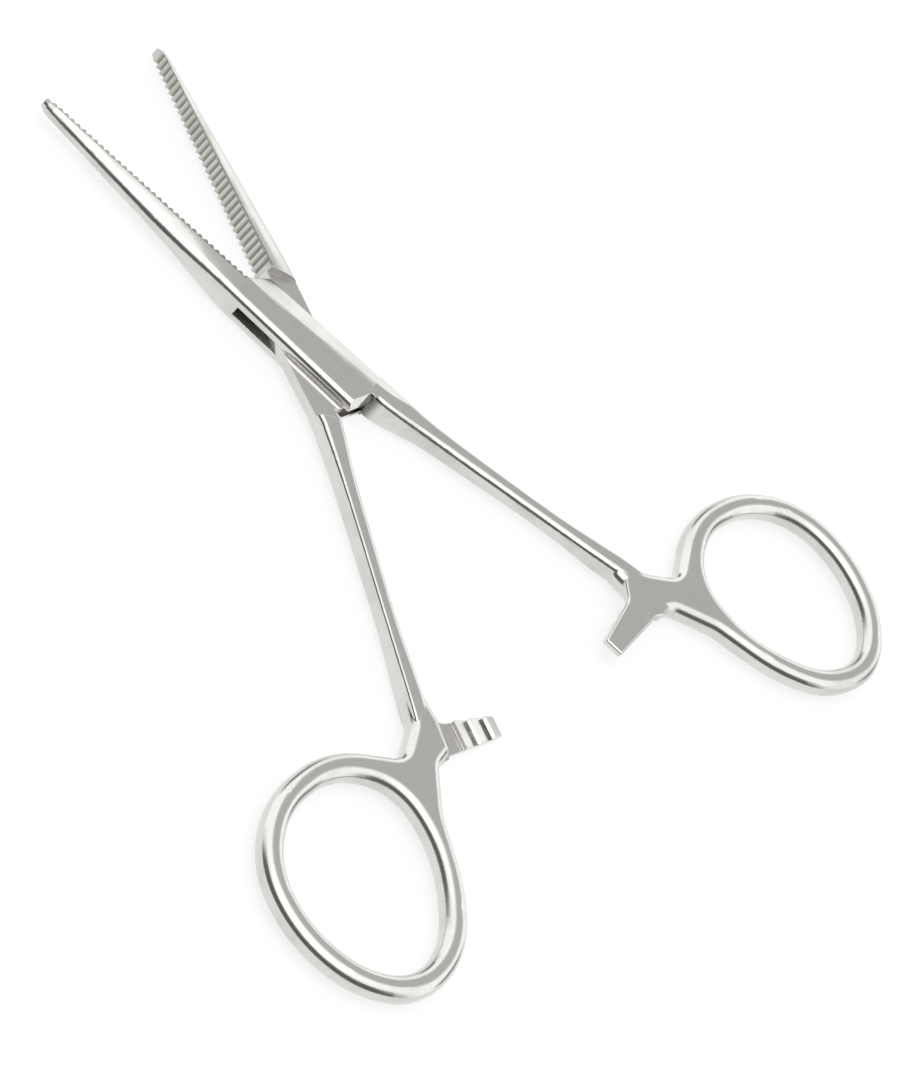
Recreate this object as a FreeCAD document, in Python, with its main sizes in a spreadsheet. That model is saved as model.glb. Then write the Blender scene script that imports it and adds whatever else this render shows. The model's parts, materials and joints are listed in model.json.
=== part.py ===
import FreeCAD, Part
import Sketcher
import math
import os

# Ring-handled locking forceps with long serrated jaws, a box lock and a ratchet.
# Origin on the pivot axis at the underside of the lock, +Y towards the jaws, +Z up.
# Every outline below is drawn with the jaws closed. The last step turns each half about
# the pivot by half of the opening.

SIZES = (
    ("opening", 27.9, "angle between the jaws as drawn, degrees"),
    ("box_width", 8.4, "box lock, across"),
    ("box_thickness", 4.8, "box lock, underside to top"),
    ("lock_round", 1.1, "edge radius along the outer long edges of the lock"),
    ("lock_end_bevel", 0.9, "bevel at the rear end of the lock plates, beside the shank"),
    ("lock_outer_round", 0.7, "edge radius below the lock's sloping facets"),
    ("facet_ease_front", 1.2, "radius between top flat and sloping facet, in front"),
    ("facet_ease_rear", 7.0, "radius between top flat and sloping facet, behind"),
    ("facet_drop", 1.4, "fall of the broad sloping facet at the front of the lock"),
    ("facet_front", 0.2, "top flat, how far its edge lies past the axis in front"),
    ("facet_rear", 2.3, "top flat, how far its edge lies from the axis behind"),
    ("front_reach", 10.2, "pivot to the front end of the lock plates"),
    ("front_slope", 0.58, "slant of the front end of the lock plates, rise over run"),
    ("rear_reach", 13.6, "pivot to the rear end of the lock plates"),
    ("rear_slope", 0.38, "slant of the rear end of the lock plates, rise over run"),
    ("slot_thickness", 1.75, "height of the slot through the lock"),
    ("front_step", 0.6, "front wall of the slot to the corner of the plates beside the jaw"),
    ("slot_front", 8.6, "pivot to the front wall of the slot"),
    ("slot_rear", 12.2, "pivot to the rear wall of the slot"),
    ("tongue_width", 7.8, "width of the tongue that runs in the slot"),
    ("tongue_rear_width", 7.2, "width of the tongue where it meets its shank"),
    ("tongue_play", 0.04, "running clearance above and below the tongue"),
    ("tongue_sink", 0.5, "reach of the tongue into its jaw and its shank"),
    ("end_play", 0.3, "clearance from the tongue to the slot walls"),
    ("shoulder_play", 0.08, "clearance from the lock plates to the shoulders"),
    ("pin_diameter", 3.0, "pivot pin"),
    ("pin_seat", 0.01, "radial clearance of the pin in the lock plates"),
    ("pin_play", 0.04, "radial running clearance of the pin in the tongue"),
    ("jaw_reach", 46.9, "pivot to the tips"),
    ("jaw_root", 4.2, "jaw thickness at the lock"),
    ("jaw_tip", 1.5, "jaw thickness near the tip"),
    ("tongue_jaw_height", 4.1, "height of the tongue's jaw at its shoulder"),
    ("tongue_shank_height", 3.2, "height of the tongue's shank at its shoulder"),
    ("jaw_tip_height", 2.4, "jaw height near the tip"),
    ("jaw_hollow", 1.15, "how the jaw thins towards its tip: 1 is straight, more is hollow"),
    ("tip_round", 1.8, "length over which the tip is rounded off"),
    ("back_flat", 0.15, "height of the flat left on the jaw's rounded back, each way"),
    ("grip_play", 0.03, "clearance of each grip face from the middle plane"),
    ("groove_start", 0.86, "front of the lock to the first cross groove"),
    ("groove_pitch", 1.06, "spacing of the cross grooves"),
    ("groove_depth", 0.45, "depth of the cross grooves"),
    ("groove_land", 0.2, "flat left between two cross grooves"),
    ("shank_start", 1.8, "middle plane to the middle of the shank's line at the lock"),
    ("shank_part", 0.1, "middle plane to the inner side of the shank at the lock"),
    ("shank_inner_round", 0.7, "edge radius of the shank's root, inner side"),
    ("shank_outer_round", 0.7, "edge radius of the shank's root, outer side"),
    ("neck_length", 7.5, "length over which most of the shank's drawing in happens"),
    ("shank_slope", 0.2, "slant of the shank against the middle plane"),
    ("shank_width", 2.4, "shank width half way"),
    ("shank_height", 2.9, "shank height half way"),
    ("shank_edge", 0.9, "edge radius of the shank, inner side"),
    ("shank_outer_edge", 0.4, "edge radius of the shank, outer side"),
    ("web_start", 54.0, "pivot to where the web grows out of the shank"),
    ("web_approach", 8.0, "length over which the shank widens before the web"),
    ("web_flare", 0.4, "widening of the shank at the web"),
    ("web_sink", 4.5, "reach of the shank into the web"),
    ("web_step", 0.1, "difference in height between shank and web"),
    ("web_round", 3.0, "corner radius of the web before the ratchet arm"),
    ("web_lean", 0.4, "slant of the web's inner side along the ratchet arm"),
    ("shoulder_out", 2.6, "shank's line to the outer shoulder of the web, across"),
    ("shoulder_drop", 3.8, "start of the web to that shoulder, along"),
    ("shoulder_round", 6.0, "radius of that shoulder"),
    ("ring_x", 30.2, "middle plane to the centre of the finger ring"),
    ("ring_y", 76.0, "pivot to the centre of the finger ring, backwards"),
    ("ring_width", 27.8, "middle line of the ring, across"),
    ("ring_length", 30.7, "middle line of the ring, along"),
    ("ring_tube", 3.5, "width of the ring's bar"),
    ("outer_hollow_x", 13.6, "ring's centre to the hollow between ring and web, outer side, across"),
    ("outer_hollow_y", 13.8, "the same, along"),
    ("outer_hollow", 2.2, "radius of that hollow"),
    ("inner_hollow_x", 15.8, "ring's centre to the hollow between ring and web, inner side, across"),
    ("inner_hollow_y", 4.6, "the same, along"),
    ("inner_hollow", 8.0, "radius of that hollow"),
    ("bow_thickness", 3.4, "thickness of ring and web"),
    ("bow_edge", 1.45, "edge radius of ring and web"),
    ("arm_y", 60.9, "pivot to the middle of the ratchet arms, backwards"),
    ("arm_root_width", 4.6, "ratchet arm width at the web"),
    ("arm_end_width", 3.0, "ratchet arm width at its end"),
    ("arm_edge", 0.35, "edge radius along the back of the ratchet arm"),
    ("arm_flare", 2.2, "how far the arm spreads towards the shank where it meets the web"),
    ("arm_ring_flare", 0.7, "how far the arm spreads towards the ring where it meets the web"),
    ("arm_sink", 1.0, "reach of the ratchet arm into the web, past the shank's line"),
    ("arm_hollow_x", 3.0, "web's inner side to the hollow behind the ratchet arm, across"),
    ("arm_hollow_y", 1.6, "rear side of the arm to that hollow, along"),
    ("arm_hollow", 2.4, "radius of that hollow"),
    ("arm_round", 1.6, "corner radius of the web behind the ratchet arm"),
    ("arm_overlap", 2.6, "reach of each ratchet arm past the middle plane"),
    ("arm_gap", 0.1, "clearance between the two ratchet arms, one above the other"),
    ("ratchet_pitch", 2.7, "spacing of the ratchet teeth"),
    ("ratchet_first", 1.8, "end of the arm to the crest of the first tooth"),
    ("ratchet_height", 0.75, "height of the ratchet teeth"),
    ("ratchet_teeth", 3, "number of teeth on each arm"),
)

# Corners of the ring's middle line before rounding, as shares of half its width and length:
# first the free stretch, then the stretch that the web backs.
RING_FREE = (
    (-0.19, 1.04),
    (0.58, 0.81),
    (1.01, 0.32),
    (1.0, -0.30),
    (0.63, -0.85),
    (0.03, -1.09),
    (-0.56, -0.85),
    (-0.87, -0.365),
)
RING_BACKED = (
    (-1.01, 0.175),
    (-0.86, 0.75),
)

# How the shank draws in behind the lock: distance in neck lengths, then the share of the way
# from the lock's size to the shank's own.
NECK = ((0.35, 0.16), (1.0, 0.65), (2.0, 0.93), (2.7, 1.0))

# Where the jaw's blade is measured out, as shares of its length.
BLADE = (0, 0.15, 0.3, 0.45, 0.6, 0.8, 1)

# Share of the blade over which its back turns from a block's into an ellipse's.
BLADE_TURN = 0.45

# How elliptical the back is at the root of the jaw on the box half and on the tongue half.
BOX_JAW_ROOT = 0.0
TONGUE_JAW_ROOT = 0.85

# Angle on the ellipse where crown and corner of the back meet, degrees.
SPLIT = 50

# How the tip closes: place as a share of the rounded length, then the size that is left.
TIP = ((0, 1), (0.6, 0.88), (1, 0.6))

# How far a cutting shape runs past what it cuts.
PAST = 1.0


def make_sheet(doc):
    """Writes every driving dimension into the spreadsheet."""
    sheet = doc.addObject("Spreadsheet::Sheet", "Sizes")
    for row, (alias, value, meaning) in enumerate(SIZES, start=1):
        sheet.set("A%d" % row, alias)
        sheet.set("B%d" % row, str(value))
        sheet.set("C%d" % row, meaning)
        sheet.setAlias("B%d" % row, alias)
    doc.recompute()
    return sheet


def v(x, y, z=0.0):
    return FreeCAD.Vector(x, y, z)


def prism(points, low, high):
    """A plate with a straight-sided plan outline between two heights."""
    corners = [v(x, y, low) for x, y in points]
    wire = Part.makePolygon(corners + corners[:1])
    return Part.Face(wire).extrude(v(0, 0, high - low))


def rounded_section(y, left, right, height, middle, radius_left, radius_right):
    """An upright rectangular section across the Y axis with its corners rounded."""
    low = middle - height / 2
    high = middle + height / 2
    a = radius_left
    b = radius_right
    corner = 1 - math.sqrt(0.5)
    points = (
        ((left, low + a), (left, high - a)),
        ((left, high - a), (left + a * corner, high - a * corner), (left + a, high)),
        ((left + a, high), (right - b, high)),
        ((right - b, high), (right - b * corner, high - b * corner), (right, high - b)),
        ((right, high - b), (right, low + b)),
        ((right, low + b), (right - b * corner, low + b * corner), (right - b, low)),
        ((right - b, low), (left + a, low)),
        ((left + a, low), (left + a * corner, low + a * corner), (left, low + a)),
    )
    edges = []
    for ends in points:
        places = [v(x, y, z) for x, z in ends]
        if len(places) == 2:
            edges.append(Part.LineSegment(*places).toShape())
        else:
            edges.append(Part.Arc(*places).toShape())
    return Part.Wire(edges)


def front_edge(s, x):
    """Front end of the lock plates at a distance from the middle plane."""
    return s.front_reach - s.front_slope * x


def rear_edge(s, x):
    """Rear end of the lock plates at a distance from the middle plane."""
    return -s.rear_reach - s.rear_slope * x


def facet_edge(s, y):
    """Distance of the top flat's slanting edge from the middle plane."""
    share = (s.front_reach - y) / (s.front_reach + s.rear_reach)
    return -s.facet_front + (s.facet_rear + s.facet_front) * share


def quarter_handle(angle):
    """Handle length of the cubic curve that follows a unit arc of an angle in degrees."""
    return 4 / 3 * math.tan(math.radians(angle) / 4)


def back_quarter(depth, half_height, corner, flat, ellipse):
    """Upper quarter of a jaw's back as two cubic curves, between a rounded block and an ellipse."""
    crown_handle = quarter_handle(90 - SPLIT)
    corner_handle = quarter_handle(SPLIT)
    round_handle = quarter_handle(90)
    low = half_height - corner
    edge = depth - corner
    block = [
        v(0, half_height),
        v(edge / 3, half_height),
        v(edge - crown_handle / corner_handle * round_handle * corner, half_height),
        v(edge, half_height),
        v(edge + round_handle * corner, half_height),
        v(depth, low + round_handle * corner),
        v(depth, low),
    ]
    rise = half_height - flat
    angle = math.radians(SPLIT)
    split = v(depth * math.cos(angle), flat + rise * math.sin(angle))
    along = v(-depth * math.sin(angle), rise * math.cos(angle))
    oval = [
        v(0, half_height),
        v(crown_handle * depth, half_height),
        split + along * crown_handle,
        split,
        split - along * corner_handle,
        v(depth, flat + corner_handle * rise),
        v(depth, flat),
    ]
    return [a * (1 - ellipse) + b * ellipse for a, b in zip(block, oval)]


def jaw_section(y, grip, depth, height, middle, corner, flat, ellipse):
    """Section of a jaw across the Y axis: flat grip face at one side, rounded back at the other."""
    upper = [v(grip - p.x, y, middle + p.y) for p in back_quarter(depth, height / 2, corner, flat, ellipse)]
    lower = [v(p.x, y, 2 * middle - p.z) for p in reversed(upper)]
    edges = []
    for poles in (upper[:4], upper[3:]):
        edges.append(poles)
    for poles in (lower[:4], lower[3:]):
        edges.append(poles)
    shapes = []
    for poles in edges:
        curve = Part.BezierCurve()
        curve.setPoles(poles)
        shapes.append(curve.toShape())
    back = Part.LineSegment(upper[-1], lower[0]).toShape()
    face = Part.LineSegment(lower[-1], upper[0]).toShape()
    return Part.Wire([shapes[0], shapes[1], back, shapes[2], shapes[3], face])


def jaw(s, start, root_height, root_ellipse):
    """One jaw with its back towards -X, from a start beside the lock to the tip."""
    middle = s.box_thickness / 2
    near_tip = s.jaw_reach - s.tip_round
    length = near_tip - s.front_reach

    def at(y, shrink=1.0):
        share = max((y - s.front_reach) / length, 0.0)
        depth = s.jaw_root + (s.jaw_tip - s.jaw_root) * share ** s.jaw_hollow - s.grip_play
        height = root_height + (s.jaw_tip_height - root_height) * share
        turn = min(share / BLADE_TURN, 1.0)
        ellipse = root_ellipse + (1 - root_ellipse) * turn * turn * (3 - 2 * turn)
        corner = min(s.lock_round, depth / 2, height / 3)
        return jaw_section(y, -s.grip_play, depth * shrink, height * shrink, middle, corner * shrink,
                           s.back_flat * shrink, ellipse)

    blade = [at(s.front_reach + length * station) for station in BLADE]
    tip = [at(near_tip + s.tip_round * place, left) for place, left in TIP]
    root = Part.makeLoft([at(start), at(s.front_reach)], True, True)
    pieces = [Part.makeLoft(blade, True, False), Part.makeLoft(tip, True, True)]
    return root.fuse(pieces).removeSplitter().Solids[0]


def grooves(s, phase):
    """The wedges that the cross grooves of one grip face take away."""
    half = (s.groove_pitch - s.groove_land) / 2
    y = s.front_reach + s.groove_start + s.groove_pitch * phase
    wedges = []
    while y < s.jaw_reach - s.groove_pitch / 2:
        points = (
            (-s.grip_play - s.groove_depth, y),
            (-s.grip_play, y - half),
            (s.grip_play, y - half),
            (s.grip_play, y + half),
            (-s.grip_play, y + half),
        )
        wedges.append(prism(points, -PAST, s.box_thickness + PAST))
        y += s.groove_pitch
    return Part.makeCompound(wedges)


def shank(s, start, root_height, root_right):
    """One shank towards +X, from a start beside the lock into the web."""
    middle = s.box_thickness / 2
    root_width = root_right - s.shank_part

    def at(y, width, height, inner=s.shank_edge, outer=s.shank_outer_edge):
        x = s.shank_start + s.shank_slope * (-y - s.rear_reach)
        return rounded_section(y, x - width / 2, x + width / 2, height, middle, inner, outer)

    def root(y):
        rounds = (s.shank_inner_round, s.shank_outer_round)
        return rounded_section(y, s.shank_part, root_right, root_height, middle, *rounds)

    sections = [root(-s.rear_reach)]
    for lengths, share in NECK:
        width = root_width + (s.shank_width - root_width) * share
        height = root_height + (s.shank_height - root_height) * share
        inner = s.shank_inner_round + (s.shank_edge - s.shank_inner_round) * share
        outer = s.shank_outer_round + (s.shank_outer_edge - s.shank_outer_round) * share
        sections.append(at(-s.rear_reach - lengths * s.neck_length, width, height, inner, outer))
    flared = s.shank_width + s.web_flare
    sections.append(at(-s.web_start + s.web_approach, s.shank_width, s.shank_height))
    sections.append(at(-s.web_start, flared, s.bow_thickness + s.web_step))
    sections.append(at(-s.web_start - s.web_sink, flared, s.bow_thickness - 2 * s.web_step))
    bar = Part.makeLoft(sections, True, False)
    block = Part.makeLoft([root(start), root(-s.rear_reach)], True, True)
    return block.fuse(bar).removeSplitter().Solids[0]


def offset_corners(corners, distance):
    """Corners of a closed clockwise outline with every side moved outward."""
    moved = []
    for i, corner in enumerate(corners):
        before = (corner - corners[i - 1]).normalize()
        after = (corners[(i + 1) % len(corners)] - corner).normalize()
        outward = v(-before.y - after.y, before.x + after.x).normalize()
        half_turn = before.getAngle(after) / 2
        moved.append(corner + outward * (distance / math.cos(half_turn)))
    return moved


def rounded_outline(corners, radii):
    """Closed outline whose corners are rounded to a radius, or as far as their sides allow."""
    count = len(corners)
    sides = [(corners[(i + 1) % count] - corners[i]).Length for i in range(count)]
    joints = []
    for i, corner in enumerate(corners):
        before = (corners[i - 1] - corner).normalize()
        after = (corners[(i + 1) % count] - corner).normalize()
        half_angle = before.getAngle(after) / 2
        leg = min(radii[i] / math.tan(half_angle), 0.495 * min(sides[i - 1], sides[i]))
        to_middle = leg / math.cos(half_angle) - leg * math.tan(half_angle)
        inward = (before + after).normalize()
        joints.append((corner + before * leg, corner + inward * to_middle, corner + after * leg))
    edges = []
    for i, (start, middle, end) in enumerate(joints):
        edges.append(Part.LineSegment(joints[i - 1][2], start).toShape())
        edges.append(Part.Arc(start, middle, end).toShape())
    return Part.Wire(edges)


def web_place(s):
    """Where the web starts: the middle of the shank and the web's inner side."""
    start_x = s.shank_start + s.shank_slope * (s.web_start - s.rear_reach)
    return start_x, start_x - s.bow_edge - s.web_step


def bow(s):
    """Finger ring and the flat web that joins it to shank and ratchet arm."""
    low = (s.box_thickness - s.bow_thickness) / 2
    start_x, inner_x = web_place(s)
    outer_x = 2 * start_x - inner_x
    free = s.ring_length
    shares = RING_FREE + RING_BACKED
    ring = [v(s.ring_x + a * s.ring_width / 2, -s.ring_y + b * s.ring_length / 2) for a, b in shares]
    bar = offset_corners(ring, s.ring_tube / 2)[:len(RING_FREE)]
    arm_front = -s.arm_y + s.arm_root_width / 2
    arm_rear = -s.arm_y - s.arm_root_width / 2
    end_round = s.bow_edge + s.web_step / 2
    web = (
        (s.ring_x - s.inner_hollow_x, -s.ring_y + s.inner_hollow_y, s.inner_hollow),
        (inner_x + s.arm_hollow_x, arm_rear - s.arm_hollow_y, s.arm_hollow),
        (inner_x, arm_rear, s.arm_round),
        (inner_x - s.web_lean, arm_front, s.web_round),
        (inner_x, -s.web_start, end_round),
        (outer_x, -s.web_start, end_round),
        (start_x + s.shoulder_out, -s.web_start - s.shoulder_drop, s.shoulder_round),
        (s.ring_x - s.outer_hollow_x, -s.ring_y + s.outer_hollow_y, s.outer_hollow),
    )
    corners = bar + [v(x, y) for x, y, radius in web]
    radii = [free] * len(bar) + [radius for x, y, radius in web]
    outline = rounded_outline(corners, radii)
    hole = rounded_outline(offset_corners(ring, -s.ring_tube / 2), [free] * len(ring))
    upward = v(0, 0, s.bow_thickness)
    plate = Part.Face(outline).extrude(upward).cut(Part.Face(hole).extrude(upward)).Solids[0]
    plate.translate(v(0, 0, low))
    rims = [edge for edge in plate.Edges if edge.BoundBox.ZLength < 0.001]
    return plate.makeFillet(s.bow_edge, rims)


def arm(s):
    """The lower ratchet arm, pointing to -X, with its teeth on top."""
    low = (s.box_thickness - s.bow_thickness) / 2
    high = (s.box_thickness - s.arm_gap) / 2
    start_x, inner_x = web_place(s)
    root_x = start_x + s.arm_sink
    end_x = -s.arm_overlap
    root = s.arm_root_width / 2
    tip = s.arm_end_width / 2
    spread = root + s.arm_flare
    ring_spread = root + s.arm_ring_flare
    side_x = inner_x + s.arm_edge
    plan = (
        (root_x, spread - s.arm_y, s.arm_edge),
        (side_x, spread - s.arm_y, s.arm_edge),
        (inner_x - s.arm_flare, root - s.arm_y, s.arm_flare),
        (end_x, tip - s.arm_y, s.arm_edge),
        (end_x, -tip - s.arm_y, s.arm_edge),
        (inner_x - s.arm_ring_flare, -root - s.arm_y, s.arm_ring_flare),
        (side_x, -ring_spread - s.arm_y, s.arm_edge),
        (root_x, -ring_spread - s.arm_y, s.arm_edge),
    )
    outline = rounded_outline([v(x, y, low) for x, y, radius in plan], [radius for x, y, radius in plan])
    solid = Part.Face(outline).extrude(v(0, 0, high - low))
    rims = [edge for edge in solid.Edges if edge.BoundBox.ZMax < low + s.arm_gap / 2]
    solid = solid.makeFillet(s.arm_edge, rims)
    floor = high - s.ratchet_height
    profile = [(end_x - PAST, high + PAST), (end_x - PAST, floor), (end_x, floor)]
    peak = end_x + s.ratchet_first
    for tooth in range(int(s.ratchet_teeth)):
        profile.append((peak, high))
        profile.append((peak, floor))
        peak += s.ratchet_pitch
    edge = inner_x - s.web_step
    profile.append((edge, floor))
    profile.append((edge, high + PAST))
    corners = [v(x, -s.arm_y - spread - PAST, z) for x, z in profile]
    gullets = Part.Face(Part.makePolygon(corners + corners[:1])).extrude(v(0, 2 * (spread + PAST), 0))
    return solid.cut(gullets)


def facets(s):
    """What the broad sloping facets take away from the lock and its shank, above and below."""
    half = s.box_width / 2
    wide = 2 * s.box_width
    drop = wide * s.facet_drop / (half + s.facet_front)
    top = s.box_thickness
    sections = []
    for y in (s.front_reach + half, -s.rear_reach - s.neck_length):
        x = facet_edge(s, y)
        corners = [v(x, y, top), v(x + wide, y, top), v(x + wide, y, top - drop)]
        sections.append(Part.makePolygon(corners + corners[:1]))
    upper = Part.makeLoft(sections, True, True)
    lower = upper.mirror(v(0, 0, top / 2), v(0, 0, 1))
    return Part.makeCompound([upper, lower])


def end_bevels(s):
    """What the bevels beside the shank take away from the rear end of the lock plates."""
    top = s.box_thickness
    reach = s.lock_end_bevel + PAST
    sections = []
    for x in (-s.box_width, s.shank_part):
        y = rear_edge(s, x)
        corners = [v(x, y + s.lock_end_bevel, top), v(x, y - PAST, top), v(x, y - PAST, top - reach)]
        sections.append(Part.makePolygon(corners + corners[:1]))
    upper = Part.makeLoft(sections, True, True)
    lower = upper.mirror(v(0, 0, top / 2), v(0, 0, 1))
    return Part.makeCompound([upper, lower])


def lock_block(s):
    """The lock's two plates as one block, with its bevels and broad sloping facets."""
    half = s.box_width / 2
    reach = s.slot_front + s.front_step
    plan = (
        (-half, rear_edge(s, -half)),
        (-half, reach),
        (-s.grip_play, front_edge(s, 0)),
        (0, front_edge(s, 0)),
        (half, front_edge(s, half)),
        (half, rear_edge(s, half)),
    )
    block = prism(plan, 0, s.box_thickness)
    sides = []
    for edge in block.Edges:
        centre = edge.CenterOfMass
        level = edge.BoundBox.ZLength < s.slot_thickness
        if level and abs(centre.x + half) < s.tongue_play:
            sides.append(edge)
    block = block.makeFillet(s.lock_round, sides).cut(facets(s))
    lines = []
    for edge in block.Edges:
        centre = edge.CenterOfMass
        level = min(centre.z, s.box_thickness - centre.z) < s.tongue_play
        if level and abs(centre.x - facet_edge(s, centre.y)) < s.tongue_play:
            lines.append(edge)
    for line in lines:
        radii = (s.facet_ease_front, s.facet_ease_rear)
        if line.Vertexes[0].Y < line.Vertexes[1].Y:
            radii = radii[::-1]
        block = block.makeFillet(radii[0], radii[1], [line])
    outer = []
    for edge in block.Edges:
        centre = edge.CenterOfMass
        level = edge.BoundBox.ZLength < s.slot_thickness
        if level and abs(centre.x - half) < s.tongue_play:
            outer.append(edge)
    return block.makeFillet(s.lock_outer_round, outer).cut(end_bevels(s))


def tongue(s):
    """The flat middle of the other half, which turns in the slot."""
    half = s.tongue_width / 2
    thickness = s.slot_thickness - 2 * s.tongue_play
    low = (s.box_thickness - thickness) / 2
    high = low + thickness
    front_radius = s.slot_front - s.end_play
    rear_radius = s.slot_rear - s.end_play
    base = v(0, 0, low)
    front_room = ((-half, 0), (half, 0), (half, front_radius), (-half, front_radius))
    front = Part.makeCylinder(front_radius, thickness, base).common(prism(front_room, low, high))
    rear_half = s.tongue_rear_width / 2
    rear_room = ((-half, 0), (half, 0), (rear_half, -rear_radius), (-rear_half, -rear_radius))
    rear = Part.makeCylinder(rear_radius, thickness, base).common(prism(rear_room, low, high))
    sink = s.tongue_sink
    left = s.grip_play
    outer = (half, front_edge(s, half) + sink)
    inner = (left, front_edge(s, left) + sink)
    to_jaw = prism(((left, 0), (half, 0), outer, inner), low, high)
    right = -s.shank_part
    outer = (-rear_half, rear_edge(s, -rear_half) - sink)
    inner = (right, rear_edge(s, right) - sink)
    to_shank = prism(((right, 0), (-half, 0), outer, inner), low, high)
    return front.fuse([rear, to_jaw, to_shank]).removeSplitter()


def pivot_pin(doc, s):
    """The pivot pin, ground flush with both faces of the lock and with its facets."""
    body = doc.addObject("PartDesign::Body", "PinBlank")
    plane = [item for item in body.Origin.OriginFeatures if item.Role == "XY_Plane"][0]
    sketch = body.newObject("Sketcher::SketchObject", "PinOutline")
    sketch.AttachmentSupport = [(plane, "")]
    sketch.MapMode = "FlatFace"
    sketch.addGeometry(Part.Circle(v(0, 0), v(0, 0, 1), 1.0))
    sketch.addConstraint(Sketcher.Constraint("Coincident", 0, 3, -1, 1))
    sketch.addConstraint(Sketcher.Constraint("Radius", 0, 1.0))
    sketch.setExpression("Constraints[1]", "Sizes.pin_diameter / 2")
    pad = body.newObject("PartDesign::Pad", "PinLength")
    pad.Profile = sketch
    pad.setExpression("Length", "Sizes.box_thickness")
    doc.recompute()
    pin = doc.addObject("Part::Common", "PivotPin")
    pin.Base = body
    pin.Tool = shape_object(doc, "GroundFaces", lock_block(s))
    return turned(pin, "pivot_pin", "Sizes.opening / 2")


def bore(doc, name, play):
    """The hole for the pin in one half, with its own clearance."""
    hole = doc.addObject("Part::Cylinder", name)
    hole.setExpression("Radius", "Sizes.pin_diameter / 2 + Sizes." + play)
    hole.setExpression("Height", "Sizes.box_thickness + 2 * Sizes.pin_diameter")
    hole.setExpression(".Placement.Base.z", "-Sizes.pin_diameter")
    return hole


def slot_room(doc, name, corner, lengths):
    """One of the two boxes that make up the slot, from a corner and three lengths."""
    room = doc.addObject("Part::Box", name)
    for axis, place in zip("xy", corner):
        room.setExpression(".Placement.Base." + axis, place)
    room.setExpression(".Placement.Base.z", "(Sizes.box_thickness - Sizes.slot_thickness) / 2")
    for side, length in zip(("Length", "Width"), lengths):
        room.setExpression(side, length)
    room.setExpression("Height", "Sizes.slot_thickness")
    return room


def shape_object(doc, name, shape):
    """A document object that holds one computed solid."""
    item = doc.addObject("Part::Feature", name)
    item.Shape = shape
    return item


def joined(doc, name, pieces):
    """Several solids as one."""
    union = doc.addObject("Part::MultiFuse", name)
    union.Shapes = pieces
    union.Refine = True
    return union


def turned(item, label, turn):
    """A finished part, named and turned open about the pivot."""
    item.Label = label
    item.Placement = FreeCAD.Placement(v(0, 0), FreeCAD.Rotation(v(0, 0, 1), 0))
    item.setExpression(".Placement.Rotation.Angle", turn)
    return item


def cut_half(doc, name, label, blank, tools, turn):
    """One finished half: the blank less its cuts, turned open about the pivot."""
    cuts = doc.addObject("Part::Compound", name + "Cuts")
    cuts.Links = tools
    finished = doc.addObject("Part::Cut", name)
    finished.Base = blank
    finished.Tool = cuts
    return turned(finished, label, turn)


class Values:
    """The sheet's cells by name."""

    def __init__(self, sheet):
        for alias, value, meaning in SIZES:
            setattr(self, alias, float(sheet.get(alias)))


def mirrored(shape):
    """The same shape on the other side of the middle plane."""
    return shape.mirror(v(0, 0, 0), v(1, 0, 0))


def box_half(doc, s):
    """The half with the slotted lock: its ring at +X, its jaw at -X."""
    middle = v(0, 0, s.box_thickness / 2)
    right_shank = shank(s, -s.slot_rear, s.box_thickness, s.box_width / 2)
    pieces = [
        shape_object(doc, "LockPlates", lock_block(s)),
        shape_object(doc, "LeftJaw", jaw(s, s.slot_front, s.box_thickness, BOX_JAW_ROOT)),
        shape_object(doc, "RightShank", right_shank.cut(facets(s))),
        shape_object(doc, "RightBow", bow(s)),
        shape_object(doc, "UpperArm", arm(s).mirror(middle, v(0, 0, 1))),
    ]
    blank = joined(doc, "BoxBlank", pieces)
    wide = "Sizes.box_width"
    deep = "Sizes.slot_rear + Sizes.box_width"
    left = slot_room(doc, "SlotLeft", ("-" + wide, "-(" + deep + ")"), (wide, deep + " + Sizes.slot_front"))
    right = slot_room(doc, "SlotRight", ("0", "-Sizes.slot_rear"), (wide, deep + " + Sizes.front_reach"))
    tools = [left, right, bore(doc, "PlateBore", "pin_seat")]
    tools.append(shape_object(doc, "LeftGrooves", grooves(s, 0)))
    return cut_half(doc, "BoxHalf", "box_half", blank, tools, "Sizes.opening / 2")


def tongue_half(doc, s):
    """The half that passes through the slot: its ring at -X, its jaw at +X."""
    top = s.box_thickness + PAST
    reach = s.box_width
    play = s.shoulder_play
    in_front = front_edge(s, -PAST) + play
    behind = rear_edge(s, PAST) - play
    plates_front = ((-PAST, in_front), (reach, front_edge(s, reach) + play), (reach, -PAST), (-PAST, -PAST))
    plates_rear = ((PAST, behind), (-reach, rear_edge(s, -reach) - play), (-reach, PAST), (PAST, PAST))
    jaw_blank = mirrored(jaw(s, 0, s.tongue_jaw_height, TONGUE_JAW_ROOT))
    right_jaw = jaw_blank.cut(prism(plates_front, -PAST, top))
    shank_start = -s.slot_rear + s.box_width / 2
    shank_blank = mirrored(shank(s, shank_start, s.tongue_shank_height, s.tongue_rear_width / 2))
    left_shank = shank_blank.cut(prism(plates_rear, -PAST, top))
    pieces = [
        shape_object(doc, "Tongue", tongue(s)),
        shape_object(doc, "RightJaw", right_jaw),
        shape_object(doc, "LeftShank", left_shank),
        shape_object(doc, "LeftBow", mirrored(bow(s))),
        shape_object(doc, "LowerArm", mirrored(arm(s))),
    ]
    blank = joined(doc, "TongueBlank", pieces)
    tools = [bore(doc, "TongueBore", "pin_play")]
    tools.append(shape_object(doc, "RightGrooves", mirrored(grooves(s, 0.5))))
    return cut_half(doc, "TongueHalf", "tongue_half", blank, tools, "-Sizes.opening / 2")


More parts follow.
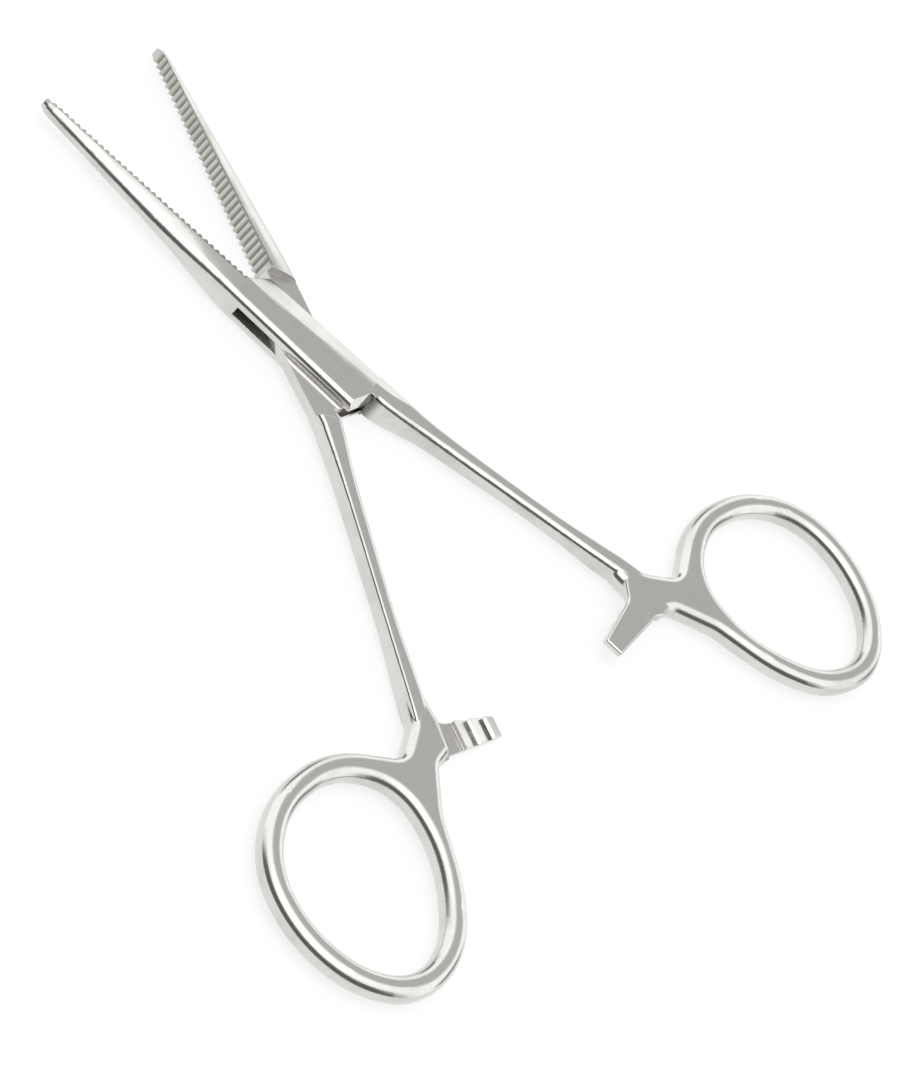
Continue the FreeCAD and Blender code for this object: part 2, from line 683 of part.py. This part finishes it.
def export(doc, parts):
    """Checks every object and writes each part to its own file."""
    for item in doc.Objects:
        if "Invalid" in item.State or "Error" in item.State:
            raise RuntimeError("failed object: " + item.Name)
    os.makedirs("parts", exist_ok=True)
    for part in parts:
        shape = part.Shape
        if shape.isNull() or not shape.isValid() or len(shape.Solids) != 1:
            raise RuntimeError("bad shape: " + part.Label)
        print(part.Label, round(shape.Volume, 1), "mm3", shape.BoundBox)
        shape.Solids[0].exportStep("parts/" + part.Label + ".step")


def main():
    doc = FreeCAD.newDocument("forceps")
    s = Values(make_sheet(doc))
    parts = [box_half(doc, s), tongue_half(doc, s), pivot_pin(doc, s)]
    doc.recompute()
    export(doc, parts)


main()
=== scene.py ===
import json
import math

import bmesh
import bpy
from mathutils import Matrix, Vector

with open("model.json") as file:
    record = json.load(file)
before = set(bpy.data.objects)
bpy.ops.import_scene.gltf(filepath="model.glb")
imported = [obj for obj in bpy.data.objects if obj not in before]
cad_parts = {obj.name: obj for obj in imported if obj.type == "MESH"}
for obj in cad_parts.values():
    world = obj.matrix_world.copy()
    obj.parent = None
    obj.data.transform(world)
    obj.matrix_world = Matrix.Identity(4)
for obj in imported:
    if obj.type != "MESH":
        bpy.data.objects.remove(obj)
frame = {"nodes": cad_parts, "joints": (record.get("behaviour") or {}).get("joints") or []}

bl_info = {
    "name": "Locking Forceps",
    "version": (1, 0, 0),
    "blender": (4, 5, 0),
    "location": "View3D > Sidebar > Forceps",
    "description": "Ring-handled locking forceps in polished steel, with their stage",
    "category": "Object",
}

MM = 0.001
HINGE = frame["joints"][0]
# The rest pose lies this far open; each half is turned by half of it about the pivot.
OPENING = math.radians(HINGE["range_deg"][1])
PIVOT = Vector(HINGE["pos_m"])

# Boxes, each by two corners and with the halves closed, within which shade is painted: the room
# inside the lock, the jaws' grooved faces, and the crook between the lock's rear end and its shank
# with the top flat left out.
SLOT = ((-4.1 * MM, -11 * MM, 1.5 * MM), (4.1 * MM, 9 * MM, 3.3 * MM))
GRIPS = ((-0.55 * MM, 10.5 * MM, -1 * MM), (0.55 * MM, 50 * MM, 6 * MM))
CROOK = ((-3.3 * MM, -16 * MM, 0.01 * MM), (0.5 * MM, -12.6 * MM, 4.79 * MM))
# Along the shank the crook's shade fades away between these two places.
CROOK_FADE = (-15.4 * MM, -13.7 * MM)
# How far from the middle plane the grooves start to darken, and where they are darkest.
GROOVE_SHADE = (-0.12 * MM, 0.42 * MM)

# The pattern of the polish: sizes of its waves and lines, and how many octaves each noise has.
WAVE_SIZE = 7 * MM
LINE_SIZE = 0.25 * MM
LINE_LENGTH = 6 * MM
DETAIL = {"waves": 1.0, "patches": 3.0, "lines": 2.0}
NOISE_ROUGHNESS = 0.5
# How much the fine lines show in the steel's colour beside the patches.
LINE_SHARE = 0.3
# The noise from which a patch begins, and at which it is whole.
PATCH_RANGE = (0.5, 0.95)
# Edges near the pin turn from sharp to eased between this share of the ground radius and all of it.
SHARP_SHARE = 0.9
# Rays that look for an edge near a place on the steel.
EDGE_SAMPLES = 8

# Tones in the tent: how high each lies, and the angles from its middle within which it is whole and
# past which it is gone. The flags stand at both sides of the direction straight behind the object.
FAR_ELEVATION = math.radians(45)
FAR_SPREAD = (math.radians(8), math.radians(21))
FLAG_TURN = math.radians(45)
FLAG_ELEVATION = math.radians(7)
FLAG_SPREAD = (math.radians(8), math.radians(17))
NEAR_SPREAD = (math.radians(68), math.radians(98))
OVERHEAD_SPREAD = (math.radians(38), math.radians(50))
# Brightness behind everything, as the camera sees it.
BACKDROP = 1.0
SOFTBOX_ELEVATION = math.radians(78)

# The camera's sensor in millimetres, and the nearest distance that it sees, in metres.
SENSOR_WIDTH_MM = 36
CLIP_START = 0.01

# From one node to the next, where the nodes are laid out.
NODE_STEP = 190
# A Mix node's sockets: its two inputs and its output, for a value and for a colour.
MIX_SOCKETS = {"FLOAT": (2, 3, 0), "RGBA": (6, 7, 2)}


# Settings

class SteelSettings(bpy.types.PropertyGroup):
    """Polished stainless steel."""

    colour: bpy.props.FloatVectorProperty(
        name="Colour", description="Colour of the polished steel", subtype="COLOR",
        size=4, min=0, max=1, default=(0.72, 0.71, 0.68, 1))
    patch_colour: bpy.props.FloatVectorProperty(
        name="Patch Colour", description="Steel where the polish is a little duller",
        subtype="COLOR", size=4, min=0, max=1, default=(0.60, 0.59, 0.56, 1))
    # Painted shade: the colour that darkens the steel inside the lock.
    slot_shade_colour: bpy.props.FloatVectorProperty(
        name="Slot Shade Colour", description="Painted shade on the unpolished steel inside the lock", subtype="COLOR",
        size=4, min=0, max=1, default=(0.45, 0.445, 0.40, 1))
    groove_colour: bpy.props.FloatVectorProperty(
        name="Groove Colour", description="Shade at the bottom of the jaws' grooves",
        subtype="COLOR", size=4, min=0, max=1, default=(0.34, 0.335, 0.30, 1))
    # Painted shade: the colour that darkens the crook between the lock's rear end and its shank.
    crook_shade_colour: bpy.props.FloatVectorProperty(
        name="Crook Shade Colour",
        description="Painted shade between the lock's rear end and its shank", subtype="COLOR",
        size=4, min=0, max=1, default=(0.17, 0.17, 0.15, 1))
    roughness: bpy.props.FloatProperty(
        name="Roughness", description="Roughness where the polish is best",
        min=0, max=1, default=0.17)
    patch_roughness: bpy.props.FloatProperty(
        name="Patch Roughness", description="Roughness where the polish is duller",
        min=0, max=1, default=0.26)
    slot_roughness: bpy.props.FloatProperty(
        name="Slot Roughness", description="Roughness inside the lock", min=0, max=1, default=0.5)
    wave_size: bpy.props.FloatProperty(
        name="Wave Size", description="Length of the slow waves that hand polishing leaves",
        unit="LENGTH", default=WAVE_SIZE)
    wave_depth: bpy.props.FloatProperty(
        name="Wave Depth", description="Depth of those waves", unit="LENGTH", default=0.03 * MM)
    line_size: bpy.props.FloatProperty(
        name="Line Size", description="Spacing of the fine polishing lines",
        unit="LENGTH", default=LINE_SIZE)
    line_depth: bpy.props.FloatProperty(
        name="Line Depth", description="Depth of the fine polishing lines",
        unit="LENGTH", default=0.0006 * MM)
    edge_round: bpy.props.FloatProperty(
        name="Edge Round", description="How far the polish rounds an edge",
        unit="LENGTH", default=0.14 * MM)
    pin_ground: bpy.props.FloatProperty(
        name="Pin Ground",
        description="Round the pivot the faces are ground flush within this radius", unit="LENGTH",
        default=2.2 * MM)


class StageSettings(bpy.types.PropertyGroup):
    """Table, tent and lamp."""

    floor_size: bpy.props.FloatProperty(
        name="Floor Size", description="Length of the floor's sides", unit="LENGTH", default=3.0)
    floor_colour: bpy.props.FloatVectorProperty(
        name="Floor Colour", description="Colour of the table", subtype="COLOR",
        size=4, min=0, max=1, default=(0.93, 0.935, 0.94, 1))
    floor_glow: bpy.props.FloatProperty(
        name="Floor Glow", description="Brightness of the table's overexposed white", default=1.0)
    floor_seen: bpy.props.FloatProperty(
        name="Floor Seen", description="Share of that white over the shaded table", default=0.8)
    wall: bpy.props.FloatProperty(
        name="Wall", description="Brightness of the tent's walls", default=1.6)
    far_side: bpy.props.FloatProperty(
        name="Far Side", description="Brightness of the tent high up behind the object",
        default=0.68)
    flag: bpy.props.FloatProperty(
        name="Flags", description="Brightness of the dark cards at both sides", default=0.3)
    near_side: bpy.props.FloatProperty(
        name="Near Side", description="Brightness of the room round the camera", default=0.17)
    softbox: bpy.props.FloatProperty(
        name="Softbox", description="Brightness of the lamp overhead", default=2.2)
    softbox_size: bpy.props.FloatProperty(
        name="Softbox Size", description="Length of the sides of the lamp overhead",
        unit="LENGTH", default=0.5)
    softbox_distance: bpy.props.FloatProperty(
        name="Softbox Distance", description="From the lamp to the object",
        unit="LENGTH", default=0.75)


class ViewSettings(bpy.types.PropertyGroup):
    """The photograph's view."""

    aim: bpy.props.FloatVectorProperty(
        name="Aim", description="Point in the middle of the picture", subtype="TRANSLATION",
        size=3, default=(2.78 * MM, -35.21 * MM, 2.35 * MM))
    distance: bpy.props.FloatProperty(
        name="Distance", description="From the camera to that point", unit="LENGTH", default=0.6172)
    azimuth: bpy.props.FloatProperty(
        name="Azimuth", description="Where the camera stands, from +X towards +Y",
        subtype="ANGLE", default=math.radians(187.60))
    elevation: bpy.props.FloatProperty(
        name="Elevation", description="Height of the camera above the table",
        subtype="ANGLE", default=math.radians(45.28))
    roll: bpy.props.FloatProperty(
        name="Roll", description="Turn of the camera about its own axis",
        subtype="ANGLE", default=math.radians(47.97))
    lens: bpy.props.FloatProperty(
        name="Lens", description="Focal length in millimetres on a sensor 36 mm wide",
        default=176.6)


# Shader nodes

class NodeBook:
    """Adds and links nodes in one tree."""

    def __init__(self, tree):
        self.tree = tree
        self.column = 0

    @classmethod
    def cleared(cls, owner):
        """The book of a material or world, emptied of its first nodes."""
        owner.use_nodes = True
        owner.node_tree.nodes.clear()
        return cls(owner.node_tree)

    def add(self, kind, label="", **values):
        """A new node to the right of the last one."""
        node = self.tree.nodes.new(kind)
        node.label = label
        node.location = (self.column * NODE_STEP, 0)
        self.column += 1
        for name, value in values.items():
            setattr(node, name, value)
        return node

    def put(self, socket, value):
        """Links a socket to another one, or sets its value."""
        if isinstance(value, bpy.types.NodeSocket):
            self.tree.links.new(value, socket)
        else:
            socket.default_value = value

    def fill(self, node, **inputs):
        """Fills inputs by name, where a word's underline stands for a space."""
        for name, value in inputs.items():
            self.put(node.inputs[name.replace("_", " ")], value)
        return node

    def fill_row(self, node, *values):
        """Fills inputs in their order, from the first."""
        for socket, value in zip(node.inputs, values):
            self.put(socket, value)
        return node

    def maths(self, label, operation, *values, **settings):
        """A Math node's result."""
        node = self.add("ShaderNodeMath", label, operation=operation, **settings)
        return self.fill_row(node, *values).outputs[0]

    def vector_maths(self, label, operation, *values, out="Vector"):
        """A Vector Math node's result."""
        node = self.add("ShaderNodeVectorMath", label, operation=operation)
        return self.fill_row(node, *values).outputs[out]

    def map_range(self, label, value, interpolation="LINEAR", **limits):
        """A Map Range node's result."""
        node = self.add("ShaderNodeMapRange", label, interpolation_type=interpolation)
        return self.fill(node, Value=value, **limits).outputs[0]

    def blend(self, factor, low, high, kind="FLOAT"):
        """A value or colour that goes from low to high with the factor."""
        mix = self.add("ShaderNodeMix", data_type=kind)
        first, second, out = MIX_SOCKETS[kind]
        self.put(mix.inputs["Factor"], factor)
        self.put(mix.inputs[first], low)
        self.put(mix.inputs[second], high)
        return mix.outputs[out]


def hand_polish_group():
    """What hand polishing leaves: slow waves, fine lines along the piece and duller patches."""
    group = bpy.data.node_groups.get("Hand Polish")
    if group:
        return group
    group = bpy.data.node_groups.new("Hand Polish", "ShaderNodeTree")
    face = group.interface
    face.new_socket("Vector", in_out="INPUT", socket_type="NodeSocketVector")
    sizes = {"Wave Size": WAVE_SIZE, "Line Size": LINE_SIZE, "Line Length": LINE_LENGTH}
    for name, size in sizes.items():
        face.new_socket(name, in_out="INPUT", socket_type="NodeSocketFloat").default_value = size
    for name in ("Waves", "Lines", "Patches"):
        face.new_socket(name, in_out="OUTPUT", socket_type="NodeSocketFloat")
    book = NodeBook(group)
    ends = book.add("NodeGroupInput").outputs
    out = book.add("NodeGroupOutput")

    def noise(label, vector, size):
        scale = book.maths(label + " per metre", "DIVIDE", 1.0, size)
        texture = book.add("ShaderNodeTexNoise", label)
        book.fill(texture, Vector=vector, Scale=scale, Detail=DETAIL[label],
                  Roughness=NOISE_ROUGHNESS)
        return texture.outputs["Fac"]

    waves = noise("waves", ends["Vector"], ends["Wave Size"])
    patches = noise("patches", ends["Vector"], ends["Wave Size"])
    # Lines run along Y: Y is squeezed by the lines' width over their length.
    squeeze = book.maths("width over length", "DIVIDE", ends["Line Size"], ends["Line Length"])
    parts = book.fill(book.add("ShaderNodeSeparateXYZ"), Vector=ends["Vector"]).outputs
    shorter = book.maths("squeezed Y", "MULTIPLY", parts["Y"], squeeze)
    joined = book.fill(book.add("ShaderNodeCombineXYZ"), X=parts["X"], Y=shorter, Z=parts["Z"])
    lines = noise("lines", joined.outputs[0], ends["Line Size"])
    book.fill(out, Waves=waves, Lines=lines, Patches=patches)
    return group


def box_mask(book, parts, box):
    """One inside an upright box, nothing outside it."""
    inside = None
    for axis, least, most in zip("XYZ", *box):
        centred = book.maths(axis + " from the middle", "SUBTRACT", parts[axis], (least + most) / 2)
        away = book.maths(axis + " away", "ABSOLUTE", centred)
        within = book.maths(axis + " within", "LESS_THAN", away, (most - least) / 2)
        inside = within if inside is None else book.maths("and " + axis, "MULTIPLY", inside, within)
    return inside


def edge_ease(book, place, steel):
    """Radius that the polish gives an edge: none where the pin is ground flush."""
    apart = book.vector_maths("from the pivot", "SUBTRACT", place, PIVOT)
    flat = book.vector_maths("in plan", "MULTIPLY", apart, (1, 1, 0))
    distance = book.vector_maths("distance", "LENGTH", flat, out="Value")
    return book.map_range("edge radius", distance, From_Min=steel.pin_ground * SHARP_SHARE,
                          From_Max=steel.pin_ground, To_Min=0.0, To_Max=steel.edge_round)


def groove_mask(book, parts):
    """How deep in a groove of the grip faces a place lies, from nothing to one."""
    start, darkest = GROOVE_SHADE
    away = book.maths("from the middle plane", "ABSOLUTE", parts["X"])
    deep = book.map_range("depth", away, From_Min=start, From_Max=darkest)
    return book.maths("on the grips", "MULTIPLY", deep, box_mask(book, parts, GRIPS))


def crook_mask(book, parts):
    """Where shade is painted: one in the crook behind the lock, fading along the shank."""
    start, whole = CROOK_FADE
    fade = book.map_range("crook's end", parts["Y"], "SMOOTHSTEP", From_Min=start, From_Max=whole)
    return book.maths("crook", "MULTIPLY", fade, box_mask(book, parts, CROOK))


def polished_steel(name, turn, slotted):
    """Steel polished along a half that is turned about Z from the middle plane."""
    steel = bpy.context.scene.forceps_steel
    material = bpy.data.materials.new(name)
    book = NodeBook.cleared(material)
    place = book.add("ShaderNodeTexCoord").outputs["Object"]
    along = book.add("ShaderNodeMapping", "turned along the half", vector_type="TEXTURE")
    along = book.fill(along, Vector=place, Rotation=(0, 0, turn)).outputs[0]
    polish = book.add("ShaderNodeGroup", "hand polish", node_tree=hand_polish_group())
    polish = book.fill(polish, Vector=along, Wave_Size=steel.wave_size,
                       Line_Size=steel.line_size).outputs
    streaks = book.maths("patches and lines", "MULTIPLY_ADD", polish["Lines"], LINE_SHARE,
                         polish["Patches"])
    begin, whole = PATCH_RANGE
    patches = book.map_range("duller patches", streaks, "SMOOTHSTEP",
                             From_Min=begin, From_Max=whole)
    rough = book.map_range("roughness", patches,
                           To_Min=steel.roughness, To_Max=steel.patch_roughness)
    colour = book.blend(patches, steel.colour, steel.patch_colour, "RGBA")
    parts = book.fill(book.add("ShaderNodeSeparateXYZ", "place"), Vector=along).outputs
    colour = book.blend(groove_mask(book, parts), colour, steel.groove_colour, "RGBA")
    if slotted:
        # Painted shade darkens the crook behind the lock.
        colour = book.blend(crook_mask(book, parts), colour, steel.crook_shade_colour, "RGBA")
        # Painted shade darkens the room inside the lock; the higher roughness there is the
        # unpolished steel's own.
        slot = box_mask(book, parts, SLOT)
        colour = book.blend(slot, colour, steel.slot_shade_colour, "RGBA")
        rough = book.blend(slot, rough, steel.slot_roughness)
    eased = book.add("ShaderNodeBevel", "eased edges", samples=EDGE_SAMPLES)
    normal = book.fill(eased, Radius=edge_ease(book, place, steel)).outputs[0]
    for label, depth, height in (("waves", steel.wave_depth, polish["Waves"]),
                                 ("lines", steel.line_depth, polish["Lines"])):
        bump = book.add("ShaderNodeBump", label)
        book.fill(bump, Strength=1.0, Distance=depth, Height=height, Normal=normal)
        normal = bump.outputs[0]
    shader = book.fill(book.add("ShaderNodeBsdfPrincipled"), Base_Color=colour, Roughness=rough,
                       Metallic=1.0, Normal=normal)
    book.fill(book.add("ShaderNodeOutputMaterial"), Surface=shader.outputs[0])
    return material


def dress(node, turn, slotted=False):
    """Gives a CAD node its steel."""
    item = frame["nodes"][node]
    item.data.materials.clear()
    item.data.materials.append(polished_steel(node + "_steel", turn, slotted))


# The forceps' pieces

class FORCEPS_OT_box_half(bpy.types.Operator):
    """Box half: slotted lock, left jaw, right shank, ring and upper ratchet arm"""

    bl_idname = "forceps.box_half"
    bl_label = "Box Half"

    def execute(self, context):
        dress("box_half", OPENING / 2, slotted=True)
        return {"FINISHED"}


class FORCEPS_OT_tongue_half(bpy.types.Operator):
    """Tongue half: tongue, right jaw, left shank, ring and lower ratchet arm"""

    bl_idname = "forceps.tongue_half"
    bl_label = "Tongue Half"

    def execute(self, context):
        dress("tongue_half", -OPENING / 2)
        return {"FINISHED"}


class FORCEPS_OT_pivot_pin(bpy.types.Operator):
    """Pivot pin, ground flush with the lock"""

    bl_idname = "forceps.pivot_pin"
    bl_label = "Pivot Pin"

    def execute(self, context):
        dress("pivot_pin", OPENING / 2)
        return {"FINISHED"}


# The stage

def direction(azimuth, elevation):
    """Unit vector towards an azimuth, counted from +X towards +Y, at a height above the table."""
    return Vector((math.cos(azimuth) * math.cos(elevation), math.sin(azimuth) * math.cos(elevation),
                   math.sin(elevation)))


def lobe(book, toward, spread, looking):
    """A mask round a direction: one within an angle, nothing past a wider one."""
    full, none = spread
    dot = book.vector_maths("towards", "DOT_PRODUCT", looking, toward, out="Value")
    return book.map_range("soft edge", dot, "SMOOTHSTEP",
                          From_Min=math.cos(none), From_Max=math.cos(full))


def build_world(stage, view):
    """A white tent, greyer high up behind the object, with two flags and dark round the camera."""
    world = bpy.data.worlds.new("tent")
    bpy.context.scene.world = world
    book = NodeBook.cleared(world)
    looking = book.add("ShaderNodeTexCoord").outputs["Generated"]
    behind = view.azimuth + math.pi
    far_mask = lobe(book, direction(behind, FAR_ELEVATION), FAR_SPREAD, looking)
    value = book.blend(far_mask, stage.wall, stage.far_side)
    for side in (-1, 1):
        flag = direction(behind + side * FLAG_TURN, FLAG_ELEVATION)
        value = book.blend(lobe(book, flag, FLAG_SPREAD, looking), value, stage.flag)
    toward = lobe(book, direction(view.azimuth, 0), NEAR_SPREAD, looking)
    overhead = lobe(book, (0, 0, 1), OVERHEAD_SPREAD, looking)
    low = book.maths("not overhead", "SUBTRACT", 1.0, overhead, use_clamp=True)
    near_mask = book.maths("low, and on the camera's side", "MULTIPLY", toward, low)
    value = book.blend(near_mask, value, stage.near_side)
    path = book.add("ShaderNodeLightPath").outputs
    value = book.blend(path["Is Camera Ray"], value, BACKDROP)
    ground = book.fill(book.add("ShaderNodeBackground"), Strength=value)
    book.fill(book.add("ShaderNodeOutputWorld"), Surface=ground.outputs[0])


def table_white(stage):
    """An overexposed white, laid for the camera over a matt table that shows a faint shadow."""
    material = bpy.data.materials.new("table_white")
    book = NodeBook.cleared(material)
    matt = book.fill(book.add("ShaderNodeBsdfDiffuse"), Color=stage.floor_colour)
    glow = book.fill(book.add("ShaderNodeEmission"), Strength=stage.floor_glow)
    path = book.add("ShaderNodeLightPath").outputs
    share = book.maths("share seen by the camera", "MULTIPLY", path["Is Camera Ray"],
                       stage.floor_seen)
    for ray in ("Is Glossy Ray", "Is Transmission Ray"):
        share = book.maths("or " + ray, "MAXIMUM", share, path[ray])
    mix = book.fill_row(book.add("ShaderNodeMixShader"), share, matt.outputs[0], glow.outputs[0])
    book.fill(book.add("ShaderNodeOutputMaterial"), Surface=mix.outputs[0])
    return material


def build_floor(stage):
    """A white table that keeps a faint shadow."""
    mesh = bpy.data.meshes.new("table")
    shape = bmesh.new()
    bmesh.ops.create_grid(shape, x_segments=1, y_segments=1, size=stage.floor_size / 2)
    shape.to_mesh(mesh)
    shape.free()
    mesh.materials.append(table_white(stage))
    floor = bpy.data.objects.new("table", mesh)
    bpy.context.scene.collection.objects.link(floor)


def build_softbox(stage, view):
    """One square lamp overhead, a little towards the camera."""
    lamp = bpy.data.lights.new("softbox", "AREA")
    lamp.shape = "SQUARE"
    lamp.size = stage.softbox_size
    lamp.energy = stage.softbox * math.pi * stage.softbox_size ** 2
    item = bpy.data.objects.new("softbox", lamp)
    toward = direction(view.azimuth, SOFTBOX_ELEVATION)
    place = Vector(view.aim) + toward * stage.softbox_distance
    turned = toward.to_track_quat("Z", "Y").to_matrix()
    item.matrix_world = Matrix.Translation(place) @ turned.to_4x4()
    bpy.context.scene.collection.objects.link(item)


def build_camera(view):
    """The photograph's camera, from where it stands, where it aims and how it is rolled."""
    data = bpy.data.cameras.new("camera")
    data.sensor_fit = "HORIZONTAL"
    data.sensor_width = SENSOR_WIDTH_MM
    data.lens = view.lens
    data.clip_start = CLIP_START
    camera = bpy.data.objects.new("camera", data)
    back = direction(view.azimuth, view.elevation)
    right = Vector((0, 0, 1)).cross(back).normalized()
    up = back.cross(right)
    turned = Matrix((right, up, back)).transposed() @ Matrix.Rotation(view.roll, 3, "Z")
    place = Vector(view.aim) + back * view.distance
    camera.matrix_world = Matrix.Translation(place) @ turned.to_4x4()
    bpy.context.scene.collection.objects.link(camera)
    bpy.context.scene.camera = camera


class FORCEPS_OT_stage(bpy.types.Operator):
    """White table, tent, softbox and camera"""

    bl_idname = "forceps.stage"
    bl_label = "Stage"

    def execute(self, context):
        scene = context.scene
        build_floor(scene.forceps_stage)
        build_world(scene.forceps_stage, scene.forceps_view)
        build_softbox(scene.forceps_stage, scene.forceps_view)
        build_camera(scene.forceps_view)
        scene.view_settings.view_transform = "Standard"
        return {"FINISHED"}


# The sidebar

class FORCEPS_PT_panel(bpy.types.Panel):
    """Lists the settings and the operators"""

    bl_idname = "FORCEPS_PT_panel"
    bl_label = "Forceps"
    bl_space_type = "VIEW_3D"
    bl_region_type = "UI"
    bl_category = "Forceps"

    def draw(self, context):
        for name in SETTINGS:
            box = self.layout.box()
            group = getattr(context.scene, name)
            for key in group.__annotations__:
                box.prop(group, key)
        for operator in OPERATORS:
            self.layout.operator(operator.bl_idname)


SETTINGS = {
    "forceps_steel": SteelSettings,
    "forceps_stage": StageSettings,
    "forceps_view": ViewSettings,
}
OPERATORS = (FORCEPS_OT_box_half, FORCEPS_OT_tongue_half, FORCEPS_OT_pivot_pin, FORCEPS_OT_stage)


def register():
    for name, group in SETTINGS.items():
        bpy.utils.register_class(group)
        setattr(bpy.types.Scene, name, bpy.props.PointerProperty(type=group))
    for operator in OPERATORS:
        bpy.utils.register_class(operator)
    bpy.utils.register_class(FORCEPS_PT_panel)


def unregister():
    bpy.utils.unregister_class(FORCEPS_PT_panel)
    for operator in reversed(OPERATORS):
        bpy.utils.unregister_class(operator)
    for name, group in SETTINGS.items():
        delattr(bpy.types.Scene, name)
        bpy.utils.unregister_class(group)


def main():
    """Registers the add-on and builds the forceps and their stage."""
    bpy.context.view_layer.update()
    register()
    bpy.ops.forceps.box_half()
    bpy.ops.forceps.tongue_half()
    bpy.ops.forceps.pivot_pin()
    bpy.ops.forceps.stage()


if __name__ == "__main__":
    main()
